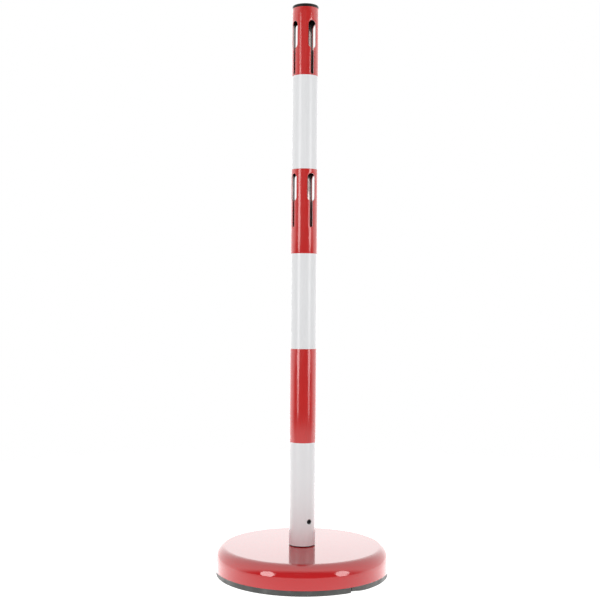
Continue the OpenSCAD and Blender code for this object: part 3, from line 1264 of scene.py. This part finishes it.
class STANCHION_OT_studio(Operator):
    """Make the camera, the lamps, the surroundings and the floor"""

    bl_idname = "stanchion.studio"
    bl_label = "Studio"
    bl_options = {"REGISTER", "UNDO"}

    # The camera stands level, in front of the post and to its left.
    VIEW_TURN = math.radians(-33.0)
    DISTANCE, HEIGHT, LENS = 1.80, 0.472, 62.4
    AIM_TURN, ROLL = math.radians(0.2), math.radians(0.39)

    # Turn from the front, distance from the post, height and size of each lamp.
    LAMPS = {
        "strip_left": (-77.5, 4.5, 0.95, (1.5, 2.5)),
        "strip_right": (20, 4.5, 0.95, (1.5, 2.5)),
        "soft_front": (-40, 2.4, 1.35, (1.6, 1.6)),
    }
    AIM_HIGH = 1.05  # no lamp aims above this
    FLOOR_RADIUS, FADE = 1.6, (0.6, 1.55)  # the floor is clear from the end of its fade

    def execute(self, context):
        scene = context.scene
        levels = scene.stanchion_levels
        self.make_camera(scene)
        self.make_lamps(scene, levels)
        self.make_surroundings(scene, levels)
        self.make_floor(levels)
        scene.view_settings.view_transform = "Standard"
        return {"FINISHED"}

    def make_camera(self, scene):
        """The camera, level and slightly rolled."""
        away = self.behind()
        data = bpy.data.cameras.new("camera")
        data.lens, data.sensor_width = self.LENS, 36.0
        data.clip_start, data.clip_end = 0.05, 100.0
        camera = bpy.data.objects.new("camera", data)
        camera.location = -away * self.DISTANCE + Vector((0, 0, self.HEIGHT))
        aim = away.to_track_quat("-Z", "Y").to_matrix().to_4x4()
        turn, roll = Matrix.Rotation(self.AIM_TURN, 4, "Z"), Matrix.Rotation(self.ROLL, 4, "Z")
        camera.rotation_euler = (turn @ aim @ roll).to_euler()
        scene.collection.objects.link(camera)
        scene.camera = camera

    def add_lamp(self, scene, name, power):
        """A soft oval lamp that faces the post and that the camera does not see."""
        turn, distance, height, size = self.LAMPS[name]
        angle = math.radians(turn)
        place = (distance * math.sin(angle), -distance * math.cos(angle), height)
        aim = (0, 0, min(height, self.AIM_HIGH))
        data = bpy.data.lights.new(name, "AREA")
        data.shape, data.energy = "ELLIPSE", power
        data.size, data.size_y = size
        lamp = bpy.data.objects.new(name, data)
        lamp.location = place
        lamp.rotation_euler = (Vector(aim) - Vector(place)).to_track_quat("-Z", "Y").to_euler()
        lamp.visible_camera = False
        scene.collection.objects.link(lamp)
        return lamp

    def make_lamps(self, scene, levels):
        """Two tall lamps that only gloss shows, and a soft one that gloss does not show."""
        self.add_lamp(scene, "strip_left", levels.left_strip).visible_diffuse = False
        self.add_lamp(scene, "strip_right", levels.right_strip).visible_diffuse = False
        self.add_lamp(scene, "soft_front", levels.front_lamp).visible_glossy = False

    def make_surroundings(self, scene, levels):
        """Plain light all round, a brighter back for gloss and white for the camera."""
        world = bpy.data.worlds.new("plain_studio")
        world.use_nodes = True
        scene.world = world
        tree = world.node_tree
        tree.nodes.clear()
        path = tree.nodes.new("ShaderNodeLightPath")
        place = tree.nodes.new("ShaderNodeTexCoord").outputs["Generated"]
        bright_side = self.behind() * 0.75 + Vector((0, 0, 0.66))
        plain = along(tree, place, (0, 0, 1))
        plain = smooth_range(tree, plain, 0.25, 0.75, levels.low_light, levels.high_light)
        gloss = along(tree, place, bright_side)
        gloss = smooth_range(tree, gloss, -0.34, 0.11, levels.dark_side, levels.backdrop_gloss)
        white = (1, 1, 1, 1)
        plain, gloss, backdrop = (
            feed(tree, tree.nodes.new("ShaderNodeBackground"), white, strength).outputs[0]
            for strength in (plain, gloss, 1.0)
        )
        unseen = blend(tree, in_reflection(tree, path), plain, gloss)
        shown = blend(tree, path.outputs["Is Camera Ray"], unseen, backdrop)
        feed(tree, tree.nodes.new("ShaderNodeOutputWorld"), shown)

    def behind(self):
        """The level direction away from the camera."""
        return Vector((-math.sin(self.VIEW_TURN), math.cos(self.VIEW_TURN), 0.0))

    def make_floor(self, levels):
        """A white disc that fades out, is clear from below and shines as far as gloss needs."""
        count = 96
        points = [tuple(p) for p in ring(self.FLOOR_RADIUS, 0.0, count)]
        mesh = bpy.data.meshes.new("floor")
        mesh.from_pydata(points, [], [tuple(range(count))])
        material = bpy.data.materials.new("plain_floor")
        material.use_nodes = True
        tree = material.node_tree
        tree.nodes.clear()
        path = tree.nodes.new("ShaderNodeLightPath")
        place = tree.nodes.new("ShaderNodeTexCoord").outputs["Object"]
        camera = path.outputs["Is Camera Ray"]
        light = sum_of(tree, "MULTIPLY_ADD", camera, levels.floor_white, levels.floor_light)
        back = along(tree, place, self.behind())
        gloss = smooth_range(tree, back, -0.25, 0.0, levels.near_gloss, levels.far_gloss)
        light = sum_of(tree, "MULTIPLY_ADD", in_reflection(tree, path), gloss, light)
        matt = tree.nodes.new("ShaderNodeBsdfDiffuse")
        matt.inputs["Color"].default_value = (0.8, 0.8, 0.8, 1)
        glow = tree.nodes.new("ShaderNodeEmission")
        tree.links.new(light, glow.inputs["Strength"])
        both = feed(tree, tree.nodes.new("ShaderNodeAddShader"), matt.outputs[0], glow.outputs[0])
        away = sum_of(tree, "LENGTH", place, kind="ShaderNodeVectorMath")
        below = tree.nodes.new("ShaderNodeNewGeometry").outputs["Backfacing"]
        gone = sum_of(tree, "MAXIMUM", below, smooth_range(tree, away, *self.FADE))
        clear = tree.nodes.new("ShaderNodeBsdfTransparent")
        surface = blend(tree, gone, both.outputs[0], clear.outputs[0])
        feed(tree, tree.nodes.new("ShaderNodeOutputMaterial"), surface)
        mesh.materials.append(material)
        floor = bpy.data.objects.new("floor", mesh)
        bpy.context.scene.collection.objects.link(floor)


# ---------------------------------------------------------------- panel and registering


class STANCHION_PT_maker(Panel):
    """Lists the stanchion's settings and the operators that make its pieces"""

    bl_idname = "STANCHION_PT_maker"
    bl_label = "Chain Stanchion"
    bl_space_type = "VIEW_3D"
    bl_region_type = "UI"
    bl_category = "Stanchion"

    def draw(self, context):
        layout = self.layout
        for title, group, makers in LISTING:
            box = layout.box()
            box.label(text=title)
            settings = getattr(context.scene, group)
            for name in settings.bl_rna.properties.keys():
                if name not in ("rna_type", "name"):
                    box.prop(settings, name)
            for maker in makers:
                box.operator(maker.bl_idname)


POST_MAKERS = (
    STANCHION_OT_tube,
    STANCHION_OT_films,
    STANCHION_OT_cap,
    STANCHION_OT_bush,
    STANCHION_OT_screw,
)
BASE_MAKERS = (
    STANCHION_OT_cover,
    STANCHION_OT_ballast,
    STANCHION_OT_rubber,
    STANCHION_OT_spigot,
    STANCHION_OT_fasteners,
)
LISTING = (
    ("Post", "stanchion_post", POST_MAKERS),
    ("Base", "stanchion_base", BASE_MAKERS),
    ("Finishes", "stanchion_finishes", ()),
    ("Studio", "stanchion_levels", (STANCHION_OT_studio,)),
)
SETTINGS = {
    "stanchion_post": StanchionPostSizes,
    "stanchion_base": StanchionBaseSizes,
    "stanchion_finishes": StanchionFinishes,
    "stanchion_levels": StanchionStudioLevels,
}
CLASSES = (*SETTINGS.values(), *POST_MAKERS, *BASE_MAKERS, STANCHION_OT_studio, STANCHION_PT_maker)


def register():
    for cls in CLASSES:
        bpy.utils.register_class(cls)
    for name, cls in SETTINGS.items():
        setattr(bpy.types.Scene, name, PointerProperty(type=cls))


def unregister():
    for name in SETTINGS:
        delattr(bpy.types.Scene, name)
    for cls in reversed(CLASSES):
        bpy.utils.unregister_class(cls)


def main():
    """Makes every piece and the studio."""
    register()
    bpy.ops.stanchion.studio()
    bpy.ops.stanchion.tube()
    bpy.ops.stanchion.films()
    bpy.ops.stanchion.cap()
    bpy.ops.stanchion.bush()
    bpy.ops.stanchion.screw()
    bpy.ops.stanchion.cover()
    bpy.ops.stanchion.ballast()
    bpy.ops.stanchion.rubber()
    bpy.ops.stanchion.spigot()
    bpy.ops.stanchion.fasteners()


if __name__ == "__main__":
    main()
